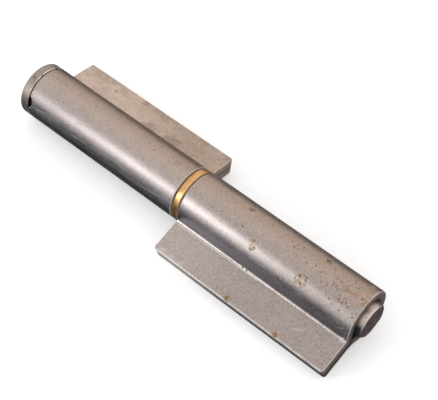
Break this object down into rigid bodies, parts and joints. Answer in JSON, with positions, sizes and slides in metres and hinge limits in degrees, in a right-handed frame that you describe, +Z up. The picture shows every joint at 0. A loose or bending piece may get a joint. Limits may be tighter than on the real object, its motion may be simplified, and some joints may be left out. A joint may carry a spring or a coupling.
{
  "type": "weld-on hinge",
  "caption": "Lift-off weld-on hinge: rolled steel knuckles with folded leaves turn on a steel pin, with a brass washer between them and an end cap.",
  "frame": {"origin": "the middle of the hinge's bounding box at its lowest face, on the surface that it lies on", "axes": "+X along the barrel towards the pin's free end, +Y towards the upper half's leaf, +Z up"},
  "size_m": [0.1488, 0.0442, 0.02],
  "materials": {
    "pressed_steel": "bare mill finish with light stains and rust specks",
    "pin_steel": "bare drawn bar with a hammered, chamfered end",
    "brass": "turned, slightly tarnished at its edges",
    "cap_steel": "bare turned steel"
  },
  "bodies": {
    "lower_half": {"lower_leaf": "pressed_steel", "hinge_pin": "pin_steel"},
    "washer": {"brass_washer": "brass"},
    "upper_half": {"upper_leaf": "pressed_steel", "end_cap": "cap_steel"}
  },
  "joints": [
    {"name": "swing", "type": "hinge", "parent": "lower_half", "child": "washer", "pos_m": [-0.0007, 0, 0.01], "axis": [1, 0, 0], "continuous": true},
    {"name": "lift_off", "type": "slide", "parent": "washer", "child": "upper_half", "axis": [-1, 0, 0], "range_m": [0, 0.06]}
  ]
}
